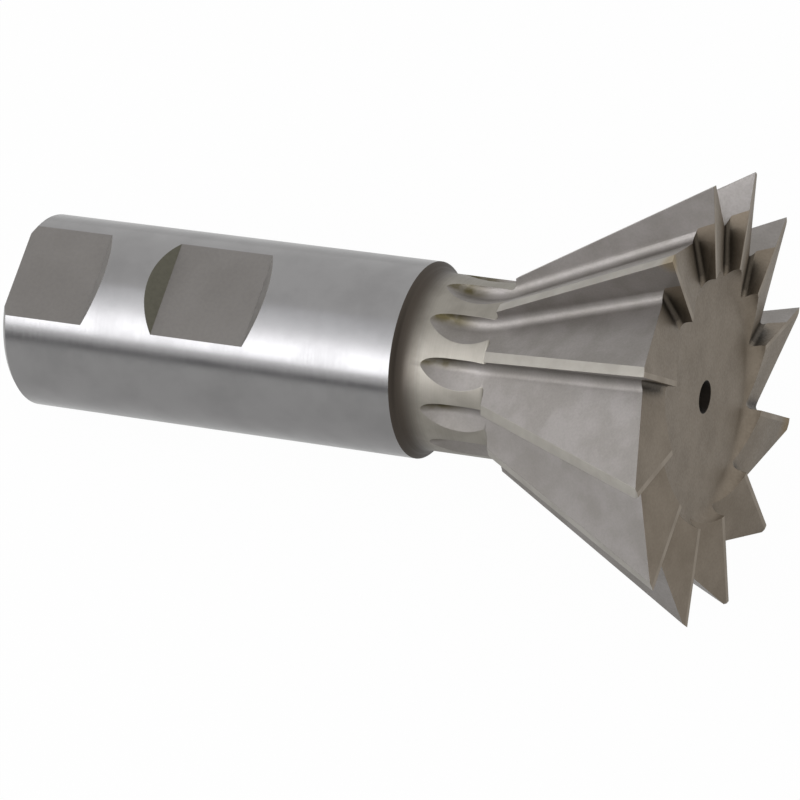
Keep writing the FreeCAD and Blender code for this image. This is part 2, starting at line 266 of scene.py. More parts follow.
@dataclass
class ToolSpace:
    """Object coordinates turned into the tool's own frame, in millimetres, for one material.

    Args:
        tree: The material's node tree.
    """

    tree: bpy.types.NodeTree
    point: bpy.types.NodeSocket = field(init=False)
    height: bpy.types.NodeSocket = field(init=False)
    radius: bpy.types.NodeSocket = field(init=False)
    turn: bpy.types.NodeSocket = field(init=False)

    def __post_init__(self) -> None:
        """Adds the nodes that all patterns share."""
        place = add_node(self.tree, "ShaderNodeTexCoord")
        local = add_node(self.tree, "ShaderNodeMapping", {
            "Vector": place.outputs["Object"],
            "Location": PLACEMENT.translation,
            "Rotation": PLACEMENT.to_euler(),
            "Scale": (MM, MM, MM),
        }, vector_type="TEXTURE")
        self.point = local.outputs["Vector"]
        parts = add_node(self.tree, "ShaderNodeSeparateXYZ", {0: self.point})
        self.height = parts.outputs["Z"]
        flat = self.combine(parts.outputs["X"], parts.outputs["Y"], 0.0)
        self.radius = add_node(self.tree, "ShaderNodeVectorMath", {0: flat},
                               operation="LENGTH").outputs["Value"]
        self.turn = self.math("ARCTAN2", parts.outputs["Y"], parts.outputs["X"])

    def math(self, operation: str, first: Any, second: Any = 0.0, third: Any = 0.0,
             clamp: bool = False) -> bpy.types.NodeSocket:
        """One step of arithmetic on values or sockets."""
        return add_node(self.tree, "ShaderNodeMath", {0: first, 1: second, 2: third},
                        operation=operation, use_clamp=clamp).outputs[0]

    def combine(self, x: Any, y: Any, z: Any) -> bpy.types.NodeSocket:
        """A vector from three values or sockets."""
        return add_node(self.tree, "ShaderNodeCombineXYZ", {0: x, 1: y, 2: z}).outputs[0]

    def noise(self, vector: bpy.types.NodeSocket, feature_mm: float,
              detail: float) -> bpy.types.NodeSocket:
        """Noise with features of a given width.

        Args:
            vector: Where the noise is read, in millimetres.
            feature_mm: How wide its largest features are.
            detail: How many finer layers lie over them.

        Returns:
            The noise.
        """
        return add_node(self.tree, "ShaderNodeTexNoise", {
            "Vector": vector, "Scale": 1 / feature_mm, "Detail": detail,
            "Roughness": NOISE_LAYER_SHARE,
        }).outputs[0]

    def between(self, value: bpy.types.NodeSocket, low: float, high: float,
                to_low: float = 0.0, to_high: float = 1.0) -> bpy.types.NodeSocket:
        """Turns one span of values into another, with soft ends.

        Args:
            value: The value.
            low: Where the span starts.
            high: Where it ends.
            to_low: The result at its start.
            to_high: The result at its end.

        Returns:
            The result.
        """
        return add_node(self.tree, "ShaderNodeMapRange", {
            "Value": value, "From Min": low, "From Max": high, "To Min": to_low, "To Max": to_high,
        }, interpolation_type="SMOOTHSTEP").outputs[0]

    def blend(self, share: Any, first: Any, second: Any) -> bpy.types.NodeSocket:
        """A colour mixed from two.

        Args:
            share: How much of the second colour there is.
            first: A colour or a socket.
            second: A colour or a socket.

        Returns:
            The mixed colour.
        """
        return add_node(self.tree, "ShaderNodeMix", {
            MIX_SHARE: share, MIX_FIRST: first, MIX_SECOND: second,
        }, data_type="RGBA").outputs[MIX_RESULT]

    def two_tones(self, pattern: bpy.types.NodeSocket, light: str, dark: str,
                  span: Point = NOISE_MIDDLE) -> bpy.types.NodeSocket:
        """Steel that a pattern takes from its light to its dark hex colour."""
        return self.blend(self.between(pattern, *span), linear(light), linear(dark))

    def gloss(self, pattern: bpy.types.NodeSocket, middle: float, below: float,
              above: float) -> bpy.types.NodeSocket:
        """Roughness that a pattern takes from so far below its middle value to so far above it."""
        return self.between(pattern, *NOISE_WIDE, middle - below, middle + above)

    def near_tip(self, stain: TipStain) -> bpy.types.NodeSocket:
        """How near the surface is to a stained tip.

        Args:
            stain: The stain on it.

        Returns:
            A share that is 1 at the tip and 0 beyond the stain's reach.
        """
        turn = SIZES.pitch * stain.tooth
        tip = (SIZES.tip_radius * cos(turn), SIZES.tip_radius * sin(turn), 0.0)
        distance = add_node(self.tree, "ShaderNodeVectorMath", {0: self.point, 1: tip},
                            operation="DISTANCE").outputs["Value"]
        return self.between(distance, stain.core * stain.reach, stain.reach, 1.0, 0.0)

    def along_axis(self) -> bpy.types.NodeSocket:
        """How far the surface faces along the tool's axis.

        Returns:
            A value from 1, towards the head, to -1, away from it.
        """
        place = add_node(self.tree, "ShaderNodeTexCoord")
        axis = PLACEMENT.col[2].to_3d()
        return add_node(self.tree, "ShaderNodeVectorMath", {0: place.outputs["Normal"], 1: axis},
                        operation="DOT_PRODUCT").outputs["Value"]

    def before_wall(self) -> bpy.types.NodeSocket:
        """How far the surface lies in front of the nearest rake wall behind it.

        Returns:
            The distance in millimetres.
        """
        share = self.math("FRACT", self.math("DIVIDE", self.turn, SIZES.pitch))
        ahead = self.math("SINE", self.math("MULTIPLY", share, SIZES.pitch))
        return self.math("MULTIPLY", self.radius, ahead)

    def crevice(self, reach: float) -> bpy.types.NodeSocket:
        """A share that is 1 deep in a corner and 0 in the open, for corners so many mm wide."""
        air = add_node(self.tree, "ShaderNodeAmbientOcclusion", {"Distance": reach * MM}, samples=8)
        return self.between(air.outputs["AO"], *CORNER_AIR, 1.0, 0.0)

    def tip_stains(self, colour: bpy.types.NodeSocket) -> bpy.types.NodeSocket:
        """Adds the brown heat and oil stains on two worn tips.

        Args:
            colour: The colour without them.

        Returns:
            The colour with them.
        """
        for stain in STAINED_TIPS:
            share = self.math("MULTIPLY", self.near_tip(stain), stain.depth)
            colour = self.blend(share, colour, linear(stain.colour))
        return colour


def empty_material(name: str) -> bpy.types.Material:
    """A material whose node tree is still empty.

    Args:
        name: The material's name.

    Returns:
        The material.
    """
    material = bpy.data.materials.new(name)
    material.use_nodes = True
    material.node_tree.nodes.clear()
    return material


def new_material(name: str) -> tuple[bpy.types.Material, bpy.types.Node]:
    """A metal with only a Principled shader.

    Args:
        name: The material's name.

    Returns:
        The material and its shader node.
    """
    material = empty_material(name)
    tree = material.node_tree
    shader = add_node(tree, "ShaderNodeBsdfPrincipled", {"Metallic": 1.0})
    add_node(tree, "ShaderNodeOutputMaterial", {"Surface": shader.outputs[0]})
    return material, shader


def rounded_edges(space: ToolSpace) -> bpy.types.NodeSocket:
    """Normals that turn over each sharp edge, as a stoned edge does."""
    return add_node(space.tree, "ShaderNodeBevel", {"Radius": EDGE_BREAK_MM * MM},
                    samples=4).outputs["Normal"]


def dress(space: ToolSpace, shader: bpy.types.Node, colour: bpy.types.NodeSocket,
          roughness: bpy.types.NodeSocket, relief: bpy.types.NodeSocket,
          depth_mm: float, strength: float) -> None:
    """Gives a shader its colour, its roughness and a relief that stands out of the surface.

    Args:
        space: The material's coordinates.
        shader: The shader.
        colour: Its colour.
        roughness: Its roughness.
        relief: The height of its pattern, from 0 to 1.
        depth_mm: How deep the pattern is.
        strength: How much of it shows.
    """
    bump = add_node(space.tree, "ShaderNodeBump", {
        "Height": relief, "Distance": depth_mm * MM, "Strength": strength,
        "Normal": rounded_edges(space)})
    for name, socket in (("Base Color", colour), ("Roughness", roughness), ("Normal", bump.outputs[0])):
        space.tree.links.new(socket, shader.inputs[name])


@dataclass(frozen=True)
class GroundShankSteel:
    """High-speed steel ground round on centres: bright, with fine rings and faint handling marks."""

    light: str = "8e8d8d"
    dark: str = "878686"
    roughness: float = 0.17
    ring_mm: float = 0.35
    ring_depth_mm: float = 0.004
    ring_strength: float = 0.25
    ring_dulling: float = 0.05
    blotch_mm: float = 6.0
    blotch_tones: Point = (0.35, 0.7)
    blotch_gloss: Point = (0.3, 0.75)
    blotch_dulling: float = 0.05

    def build(self) -> bpy.types.Material:
        """Builds the material.

        Returns:
            The material.
        """
        material, shader = new_material(Finish.GROUND_SHANK.value)
        space = ToolSpace(material.node_tree)
        rings = space.noise(space.combine(0.0, 0.0, space.height), self.ring_mm, detail=4.0)
        blotches = space.noise(space.point, self.blotch_mm, detail=4.0)
        colour = space.two_tones(blotches, self.light, self.dark, self.blotch_tones)
        handled = space.between(blotches, *self.blotch_gloss, self.roughness,
                                self.roughness + self.blotch_dulling)
        ringed = space.between(rings, *NOISE_WIDE, 0.0, self.ring_dulling)
        dress(space, shader, colour, space.math("ADD", handled, ringed), rings,
              self.ring_depth_mm, self.ring_strength)
        return material


@dataclass(frozen=True)
class MilledFlatSteel:
    """Flats milled before hardening and left as they are: dull grey, with faint cutter marks.

    The sloping wall that faces the head is painted darker, as shade, and the one that faces away from it
    is painted lighter, as light.
    """

    light: str = "767370"
    dark: str = "716e6b"
    # Painted shade on the wall that faces the head, painted light on the wall that faces away from it
    shaded_wall: str = "5f5d53"
    lit_wall: str = "8c8986"
    wall_facing: Point = (0.2, 0.5)
    roughness: float = 0.5
    cloud_mm: float = 8.3333
    mark_mm: float = 0.5
    mark_depth_mm: float = 0.01
    mark_strength: float = 0.12

    def build(self) -> bpy.types.Material:
        """Builds the material.

        Returns:
            The material.
        """
        material, shader = new_material(Finish.MILLED_FLAT.value)
        space = ToolSpace(material.node_tree)
        marks = space.noise(space.point, self.mark_mm, detail=5.0)
        cloud = space.noise(space.point, self.cloud_mm, detail=3.0)
        steel = space.two_tones(cloud, self.light, self.dark)
        facing = space.along_axis()
        # Painted shade and painted light on the sloping walls, by the way each one faces along the axis
        level, sloping = self.wall_facing
        oil_and_shade = space.blend(space.between(facing, level, sloping), steel, linear(self.shaded_wall))
        colour = space.blend(space.between(facing, -level, -sloping), oil_and_shade, linear(self.lit_wall))
        rough = space.gloss(marks, self.roughness, below=0.05, above=0.08)
        dress(space, shader, colour, rough, marks, self.mark_depth_mm, self.mark_strength)
        return material


@dataclass(frozen=True)
class TurnedNeckSteel:
    """Neck and shoulder as turned: satin, with rings from the tool's feed, and painted shade in the cove.

    The cove's painted shade starts so many fillet radii in front of the shoulder and is whole just in
    front of it. Behind the shoulder it stays for a while and is then gone, so the rear end has none.
    """

    light: str = "8f8b83"
    dark: str = "86827a"
    # Painted shade in the cove, with where it starts, is whole, stays and is gone
    cove_shade: str = "4b453f"
    shade_start_radii: float = 2.1
    shade_whole_mm: float = 0.5
    shade_stays_mm: float = 2.0
    shade_gone_mm: float = 4.0
    roughness: float = 0.46
    cloud_mm: float = 2.8571
    feed_mm: float = 0.25
    feed_depth_mm: float = 0.006
    feed_strength: float = 0.5

    def build(self) -> bpy.types.Material:
        """Builds the material.

        Returns:
            The material.
        """
        material, shader = new_material(Finish.TURNED_NECK.value)
        space = ToolSpace(material.node_tree)
        rings = space.noise(space.combine(0.0, 0.0, space.height), self.feed_mm, detail=3.0)
        cloud = space.noise(space.point, self.cloud_mm, detail=4.0)
        steel = space.two_tones(cloud, self.light, self.dark)
        # Painted shade: a darker colour in the cove at the shoulder
        shoulder = -SIZES.shoulder_distance
        front = space.between(space.height, shoulder + SIZES.shoulder_fillet * self.shade_start_radii,
                              shoulder + self.shade_whole_mm)
        back = space.between(space.height, shoulder - self.shade_gone_mm, shoulder - self.shade_stays_mm)
        colour = space.blend(space.math("MULTIPLY", front, back), steel, linear(self.cove_shade))
        rough = space.gloss(rings, self.roughness, below=0.05, above=0.08)
        dress(space, shader, colour, rough, rings, self.feed_depth_mm, self.feed_strength)
        return material


@dataclass(frozen=True)
class MilledFluteSteel:
    """Flutes milled and hardened: grey satin with a fine grain, and olive oil at the run-out.

    The oil is pooled in the corner before the rake wall, between two heights on the neck. Deep corners
    get painted shade, found by ambient occlusion.
    """

    light: str = "8e8a87"
    dark: str = "84807c"
    # Painted shade deep in the corners, and how much of it shows
    corner_shade: str = "4a443b"
    corner_shade_share: float = 0.35
    corner_mm: float = 2.5
    oil: str = "4e472f"
    oil_heights: Point = (-29.0, -33.5)
    oil_pool_mm: Point = (0.5, 1.7)
    oil_film: float = 0.1
    oil_patch_mm: float = 1.6667
    oil_depths: Point = (0.55, 0.95)
    roughness: float = 0.5
    cloud_mm: float = 4.5455
    mark_mm: float = 0.3
    mark_depth_mm: float = 0.008
    mark_strength: float = 0.35

    def build(self) -> bpy.types.Material:
        """Builds the material.

        Returns:
            The material.
        """
        material, shader = new_material(Finish.MILLED_FLUTE.value)
        space = ToolSpace(material.node_tree)
        cloud = space.noise(space.point, self.cloud_mm, detail=4.0)
        marks = space.noise(space.point, self.mark_mm, detail=4.0)
        steel = space.two_tones(cloud, self.light, self.dark)
        # Painted shade: a darker colour deep in corners, where ambient occlusion finds them
        corner = space.math("MULTIPLY", space.crevice(self.corner_mm), self.corner_shade_share)
        corner_shaded = space.blend(corner, steel, linear(self.corner_shade))
        runout = space.between(space.height, *self.oil_heights)
        pool = space.between(space.before_wall(), *self.oil_pool_mm, 1.0, self.oil_film)
        patches = space.noise(space.point, self.oil_patch_mm, detail=3.0)
        patchy = space.between(patches, *NOISE_MIDDLE, *self.oil_depths)
        oil_and_shade = space.math("MULTIPLY", space.math("MULTIPLY", pool, runout), patchy)
        colour = space.tip_stains(space.blend(oil_and_shade, corner_shaded, linear(self.oil)))
        rough = space.gloss(marks, self.roughness, below=0.05, above=0.07)
        dress(space, shader, colour, rough, marks, self.mark_depth_mm, self.mark_strength)
        return material


@dataclass(frozen=True)
class GroundLandSteel:
    """Lands ground last, after hardening: smooth warm grey strips behind the cutting edges."""

    finish: Finish = Finish.GROUND_LAND
    light: str = "a39f98"
    dark: str = "99958e"
    roughness: float = 0.36
    patch_mm: float = 4.0
    patch_depth_mm: float = 0.004
    patch_strength: float = 0.1

    def build(self) -> bpy.types.Material:
        """Builds the material.

        Returns:
            The material.
        """
        material, shader = new_material(self.finish.value)
        space = ToolSpace(material.node_tree)
        patches = space.noise(space.point, self.patch_mm, detail=3.0)
        colour = space.tip_stains(space.two_tones(patches, self.light, self.dark))
        rough = space.gloss(patches, self.roughness, below=0.0, above=0.06)
        dress(space, shader, colour, rough, patches, self.patch_depth_mm, self.patch_strength)
        return material


@dataclass(frozen=True)
class EndFaceSteel:
    """Recessed end face and end gashes: dull brown-grey from hardening, with a blasted grain.

    Painted shade lies in the corner before each rake wall, thinner further out, and in the gash's fillet
    outside the recess, just off the wall. The centre hole is painted dark inside, as shade.
    """

    light: str = "857b6e"
    dark: str = "7a7063"
    # Painted shade in the gash's corners and fillets, and how much of it shows
    corner_shade: str = "1b1814"
    corner_shade_share: float = 0.95
    corner_mm: float = 3.5
    wall_shade_mm: Point = (0.7, 2.2)
    wall_shade_least: float = 0.25
    off_wall_mm: Point = (0.01, 0.06)
    fillet_shade_mm: Point = (0.5, 1.5)
    fillet_shade_most: float = 0.7
    rim_mm: float = 0.4
    # Painted shade inside the centre hole
    hole: str = "1d1a17"
    hole_edge_mm: float = 0.05
    roughness: float = 0.48
    cloud_mm: float = 5.0
    grain_mm: float = 0.35
    grain_depth_mm: float = 0.01
    grain_strength: float = 0.4

    def build(self) -> bpy.types.Material:
        """Builds the material.

        Returns:
            The material.
        """
        material, shader = new_material(Finish.END_FACE.value)
        space = ToolSpace(material.node_tree)
        cloud = space.noise(space.point, self.cloud_mm, detail=4.0)
        grain = space.noise(space.point, self.grain_mm, detail=4.0)
        steel = space.two_tones(cloud, self.light, self.dark, NOISE_WIDE)
        # Painted shade in the corner before each rake wall and in the gash's fillet
        ahead = space.before_wall()
        shade = space.between(ahead, *self.wall_shade_mm, 1.0, self.wall_shade_least)
        corner = space.math("MULTIPLY", shade, space.crevice(self.corner_mm))
        fillet = space.math("MULTIPLY", space.between(ahead, *self.off_wall_mm),
                            space.between(ahead, *self.fillet_shade_mm, self.fillet_shade_most, 0.0))
        recess = SIZES.recess_diameter / 2
        outside = space.between(space.radius, recess, recess + self.rim_mm)
        darkest = space.math("MAXIMUM", corner, space.math("MULTIPLY", fillet, outside))
        corner_shaded = space.blend(space.math("MULTIPLY", darkest, self.corner_shade_share), steel, linear(self.corner_shade))
        # Painted shade: the centre hole is dark inside
        mouth = SIZES.front_centre_diameter / 2
        inside = space.between(space.radius, mouth + self.hole_edge_mm, mouth - self.hole_edge_mm)
        colour = space.tip_stains(space.blend(inside, corner_shaded, linear(self.hole)))
        rough = space.gloss(grain, self.roughness, below=0.04, above=0.08)
        dress(space, shader, colour, rough, grain, self.grain_depth_mm, self.grain_strength)
        return material


def build_finishes() -> dict[Finish, bpy.types.Material]:
    """Builds every finish once.

    Returns:
        The materials by finish.
    """
    return {
        Finish.GROUND_SHANK: GroundShankSteel().build(),
        Finish.MILLED_FLAT: MilledFlatSteel().build(),
        Finish.TURNED_NECK: TurnedNeckSteel().build(),
        Finish.MILLED_FLUTE: MilledFluteSteel().build(),
        Finish.GROUND_LAND: GroundLandSteel().build(),
        Finish.END_LAND: GroundLandSteel(
            finish=Finish.END_LAND, light="93897c", dark="8a8073", roughness=0.46).build(),
        Finish.END_FACE: EndFaceSteel().build(),
    }


# Small tools for meshes, in millimetres in the tool's frame

def placed(name: str, data: bpy.types.ID) -> bpy.types.Object:
    """An object that shows this mesh or camera, linked to the scene.

    Args:
        name: The object's name.
        data: The mesh or camera.

    Returns:
        The object.
    """
    piece = bpy.data.objects.new(name, data)
    bpy.context.collection.objects.link(piece)
    return piece


def mesh_object(name: str, points: Sequence[Vector], faces: Sequence[Sequence[int]],
                finishes: Sequence[int], materials: Sequence[bpy.types.Material]) -> bpy.types.Object:
    """A mesh object with one material number per face and its faces pointing outwards.

    Args:
        name: The object's name.
        points: Corners in millimetres.
        faces: Corner numbers of each face.
        finishes: Material number of each face.
        materials: The materials.

    Returns:
        The object, linked to the scene.
    """
    mesh = bpy.data.meshes.new(name)
    mesh.from_pydata([tuple(point) for point in points], [], [list(face) for face in faces])
    for material in materials:
        mesh.materials.append(material)
    mesh.polygons.foreach_set("material_index", list(finishes))
    shell = bmesh.new()
    shell.from_mesh(mesh)
    bmesh.ops.remove_doubles(shell, verts=shell.verts, dist=SAME_CORNER_MM)
    bmesh.ops.recalc_face_normals(shell, faces=shell.faces)
    shell.to_mesh(mesh)
    shell.free()
    return placed(name, mesh)


def arc(first: Point, last: Point, radius: float, side: int, steps: int) -> list[Point]:
    """Points of an arc that bulges to the right of its way (side 1) or to the left (side -1).

    Args:
        first: Where the arc starts.
        last: Where it ends.
        radius: Its radius.
        side: The side of its bulge.
        steps: How many chords it gets.

    Returns:
        The points from first to last, both included.
    """
    across = (last[0] - first[0], last[1] - first[1])
    length = hypot(*across)
    right = (across[1] / length, -across[0] / length)
    rise = sqrt(max(radius ** 2 - length ** 2 / 4, 0.0))
    centre = tuple((first[i] + last[i]) / 2 - right[i] * rise * side for i in (0, 1))
    start, end = (atan2(p[1] - centre[1], p[0] - centre[0]) for p in (first, last))
    sweep = (end - start) % (2 * pi) if side > 0 else -((start - end) % (2 * pi))
    return [(centre[0] + radius * cos(start + sweep * i / steps),
             centre[1] + radius * sin(start + sweep * i / steps)) for i in range(steps + 1)]


def swept(name: str, rings: Sequence[Sequence[Vector]], material: bpy.types.Material) -> bpy.types.Object:
    """A closed solid through equal rings of points, capped at both ends.

    Args:
        name: The object's name.
        rings: The rings, each with as many points.
        material: The finish that this cutter leaves.

    Returns:
        The object.
    """
    count = len(rings[0])
    points = [point for ring in rings for point in ring]
    faces: list[Sequence[int]] = []
    for number in range(len(rings) - 1):
        low, high = number * count, (number + 1) * count
        for i in range(count):
            j = (i + 1) % count
            faces.append((low + i, low + j, high + j, high + i))
    faces.append(tuple(range(count)))
    faces.append(tuple(range(len(points) - 1, len(points) - count - 1, -1)))
    return mesh_object(name, points, faces, [0] * len(faces), [material])


@dataclass
class TurnedBlank:
    """The lathe's work: cone, neck, shank, recessed end face and both centre holes.

    Args:
        sizes: The cutter's sizes.
        finishes: The materials by finish.
        segments: How many chords go round.
        first_segment: Where the first corner stands, in chords past the first tooth's rake wall, so
            that no edge of the blank lies in a wall that a cutter leaves.
        fillet_steps: How many chords each fillet gets.
    """

    sizes: CutterSizes
    finishes: dict[Finish, bpy.types.Material]
    segments: int = 240
    first_segment: float = 0.5
    fillet_steps: int = 8

    def centre_hole(self, mouth: float, height: float, inward: int) -> list[Point]:
        """Outline of a centre hole from its mouth to the tip of its drill point.

        Args:
            mouth: Radius of its mouth.
            height: Height of the face that it is in.
            inward: 1 where it is drilled upwards, -1 where downwards.

        Returns:
            Points of radius and height.
        """
        s = self.sizes
        pilot = s.pilot_diameter / 2
        sink = (mouth - pilot) / tan(radians(s.centre_angle / 2))
        point = pilot / tan(radians(s.drill_point_angle / 2))
        return [(mouth, height), (pilot, height + inward * sink),
                (pilot, height + inward * (sink + s.pilot_length)),
                (0.0, height + inward * (sink + s.pilot_length + point))]

    def outline(self) -> list[tuple[Point, Finish]]:
        """The turned profile from the front centre hole to the rear one.

        Returns:
            Its points, each with the finish of the stretch that follows it.
        """
        s = self.sizes
        recess = s.recess_diameter / 2
        drop = (s.tip_radius - recess) * tan(radians(s.dish_angle))
        floor_end = recess - sqrt(s.recess_fillet ** 2 - (s.recess_fillet - s.recess_depth + drop) ** 2)
        shoulder = s.shank_radius - s.shoulder_edge_break
        fillet_start = -s.shoulder_distance + sqrt(
            s.shoulder_fillet ** 2 - (s.neck_radius + s.shoulder_fillet - shoulder) ** 2)
        front = self.centre_hole(s.front_centre_diameter / 2, -s.recess_depth, -1)[::-1]
        rear = self.centre_hole(s.rear_centre_diameter / 2, -s.overall_length, 1)
        steps = self.fillet_steps
        rim = arc((floor_end, -s.recess_depth), (recess, -drop), s.recess_fillet, 1, steps)
        collar = arc((s.neck_radius + s.head_fillet, -s.head_width),
                     (s.neck_radius, -s.head_width - s.head_fillet), s.head_fillet, 1, steps)
        cove = arc((s.neck_radius, fillet_start), (shoulder, -s.shoulder_distance),
                   s.shoulder_fillet, 1, steps)
        stretches: list[tuple[list[Point], Finish]] = [
            (front, Finish.END_FACE),
            (rim, Finish.END_FACE),
            ([(s.tip_radius, 0.0)], Finish.GROUND_LAND),
            ([(s.small_radius, -s.head_width)], Finish.TURNED_NECK),
            (collar, Finish.TURNED_NECK),
            (cove, Finish.TURNED_NECK),
            ([(s.shank_radius, -s.shoulder_distance - s.shoulder_edge_break),
              (s.shank_radius, -s.overall_length + s.shank_chamfer)], Finish.GROUND_SHANK),
            ([(s.shank_radius - s.shank_chamfer, -s.overall_length)], Finish.TURNED_NECK),
            (rear, Finish.TURNED_NECK),
        ]
        return [(point, finish) for points, finish in stretches for point in points]

    def build(self) -> bpy.types.Object:
        """Spins the profile into a closed mesh.

        Returns:
            The blank.
        """
        profile = self.outline()
        names = list(self.finishes)
        points: list[Vector] = []
        faces: list[Sequence[int]] = []
        kinds: list[int] = []
        for (radius, height), _ in profile:
            for number in range(self.segments):
                turn = 2 * pi * (number + self.first_segment) / self.segments
                points.append(Vector((radius * cos(turn), radius * sin(turn), height)))
        for ring, (_, finish) in enumerate(profile[:-1]):
            low, high = ring * self.segments, (ring + 1) * self.segments
            for i in range(self.segments):
                j = (i + 1) % self.segments
                faces.append((low + i, high + i, high + j, low + j))
                kinds.append(names.index(finish))
        return mesh_object("blank", points, faces, kinds, [self.finishes[name] for name in names])


@dataclass
class ShankFlats:
    """The cutter that leaves the two clamping flats, as two prisms square to the flats.

    Args:
        sizes: The cutter's sizes.
        material: The finish that it leaves.
        margin: How far the prisms reach past the shank.
    """

    sizes: CutterSizes
    material: bpy.types.Material
    margin: float = 1.0

    def prism(self, name: str, corners: Sequence[Point]) -> bpy.types.Object:
        """A prism through the shank.

        Args:
            name: The prism's name.
            corners: Its outline, as points of distance from the axis and height.

        Returns:
            The prism.
        """
        turn = Matrix.Rotation(radians(self.sizes.flat_turn), 3, "Z")
        half = self.sizes.shank_radius + self.margin
        rings = [[turn @ Vector((out, side, height)) for out, height in corners]
                 for side in (-half, half)]
        return swept(name, rings, self.material)

    def build(self) -> list[bpy.types.Object]:
        """Builds the prisms.

        Returns:
            The rear and the front one.
        """
        s = self.sizes
        bottom = s.shank_radius - s.flat_depth
        top = s.shank_radius + self.margin
        spread = (top - bottom) / tan(radians(s.flat_wall_angle))
        end = -s.overall_length - self.margin
        rear_end = -s.overall_length + s.rear_flat_length
        start = rear_end + s.flat_web
        stop = start + s.front_flat_length
        rear = [(bottom, end), (bottom, rear_end), (top, rear_end + spread), (top, end)]
        front = [(bottom, start), (bottom, stop), (top, stop + spread), (top, start - spread)]
        return [self.prism("rear_flat", rear), self.prism("front_flat", front)]


@dataclass
class HeadCutters:
    """The cutters that are sent round the head, once for each tooth.

    Args:
        sizes: The cutter's sizes.
        finishes: The materials by finish.
        margin: How far the cutters reach past the steel.
        edge_strip: How far below a cutting edge its relief starts, so that the edge stays whole.
        wall_gap: How far a gash stays off the rake wall that the flute has already cut.
        worn_behind: How far behind its rake wall a tip is worn.
        fillet_steps: How many chords each fillet gets.
        runout_steps: How many chords the wheel's quarter turn gets.
    """

    sizes: CutterSizes
    finishes: dict[Finish, bpy.types.Material]
    margin: float = 1.0
    edge_strip: float = 0.01
    wall_gap: float = 0.005
    worn_behind: float = 5.0
    fillet_steps: int = 8
    runout_steps: int = 40

    def flute(self) -> bpy.types.Object:
        """A flute's swept volume: straight through the head, then out on the wheel's radius.

        Returns:
            The volume, with its rake wall in the plane of the first tooth.
        """
        s = self.sizes
        root = s.tip_radius - s.tooth_depth
        lean = atan((root - s.small_radius + s.small_end_depth) / s.head_width)
        heel = s.tip_radius - s.land_width * tan(radians(s.land_relief)) / cos(s.cone)
        heel_across = heel * sin(s.pitch) - s.land_width * cos(s.pitch)
        heel_out = heel * cos(s.pitch) + s.land_width * sin(s.pitch)
        exit_height = s.runout_gap - s.shoulder_distance
        exit_along = (s.neck_radius - root) * sin(lean) + exit_height * cos(lean)
        exit_above = (s.neck_radius - root) * cos(lean) - exit_height * sin(lean)
        turn_along = exit_along + sqrt(s.wheel_radius ** 2 - (s.wheel_radius - exit_above) ** 2)
        heel_above = (heel_out - root) * cos(lean)
        rise, run = heel_above - s.flute_fillet, heel_across - s.flute_fillet
        wall = atan(rise / run) + asin(s.flute_fillet / hypot(rise, run))
        top = s.wheel_radius - self.margin
        side = heel_across + self.margin
        section = [(top, 0.0), *arc(
            (s.flute_fillet, 0.0),
            (s.flute_fillet * (1 - cos(wall)), s.flute_fillet * (1 + sin(wall))),
            s.flute_fillet, -1, self.fillet_steps),
            (heel_above + self.margin * tan(wall), side), (top, side)]
        corner = Vector((root + turn_along * sin(lean), 0.0, turn_along * cos(lean)))
        forward = Vector((sin(lean), 0.0, cos(lean)))
        above = Vector((cos(lean), 0.0, -sin(lean)))
        centre = corner + above * s.wheel_radius
        reach = -turn_along + s.tooth_depth
        rings = [[corner + forward * reach + above * up + Vector((0.0, across, 0.0))
                  for up, across in section]]
        for step in range(self.runout_steps + 1):
            swing = Matrix.Rotation(-radians(90) * step / self.runout_steps, 3, "Y")
            rings.append([centre + swing @ (above * (up - s.wheel_radius)) + Vector((0.0, across, 0.0))
                          for up, across in section])
        return swept("flute", rings, self.finishes[Finish.MILLED_FLUTE])

    def relief(self, finish: Finish, name: str, origin: Vector, along: Vector, above: Vector,
               length: float, width: float, angle: float) -> bpy.types.Object:
        """A wedge that falls away behind a cutting edge.

        Args:
            finish: The finish that it leaves.
            name: The wedge's name.
            origin: Where the edge starts.
            along: The edge's way.
            above: The way out of the steel, square to the edge.
            length: How long the edge is.
            width: How wide the land behind it is.
            angle: How steeply the wedge falls, in radians.

        Returns:
            The wedge.
        """
        behind = width + self.margin / 2
        ahead = self.margin / 2
        start = self.edge_strip
        section = [((ahead + start) * tan(angle), ahead), ((start - behind) * tan(angle), -behind),
                   (self.margin, -behind), (self.margin, ahead)]
        across = Vector((0.0, 1.0, 0.0))
        rings = [[origin + along * way + above * up + across * aside for up, aside in section]
                 for way in (0.0, length)]
        return swept(name, rings, self.finishes[finish])

    def side_land(self) -> bpy.types.Object:
        """Relief behind the side cutting edge.

        Returns:
            The wedge.
        """
        s = self.sizes
        reach = s.head_width + self.margin
        origin = Vector((s.tip_radius - reach * tan(s.cone), 0.0, -reach))
        along = Vector((sin(s.cone), 0.0, cos(s.cone)))
        above = Vector((cos(s.cone), 0.0, -sin(s.cone)))
        return self.relief(Finish.GROUND_LAND, "side_land", origin, along, above,
                           reach / cos(s.cone) + self.margin, s.land_width, radians(s.land_relief))

    def end_land(self) -> bpy.types.Object:
        """Relief behind the end cutting edge.

        Returns:
            The wedge.
        """
        s = self.sizes
        dish = radians(s.dish_angle)
        origin = Vector((0.0, 0.0, -s.tip_radius * tan(dish)))
        along = Vector((cos(dish), 0.0, sin(dish)))
        above = Vector((-sin(dish), 0.0, cos(dish)))
        return self.relief(Finish.END_LAND, "end_land", origin, along, above, s.tip_radius + self.margin,
                           s.end_land, radians(s.end_land_relief))

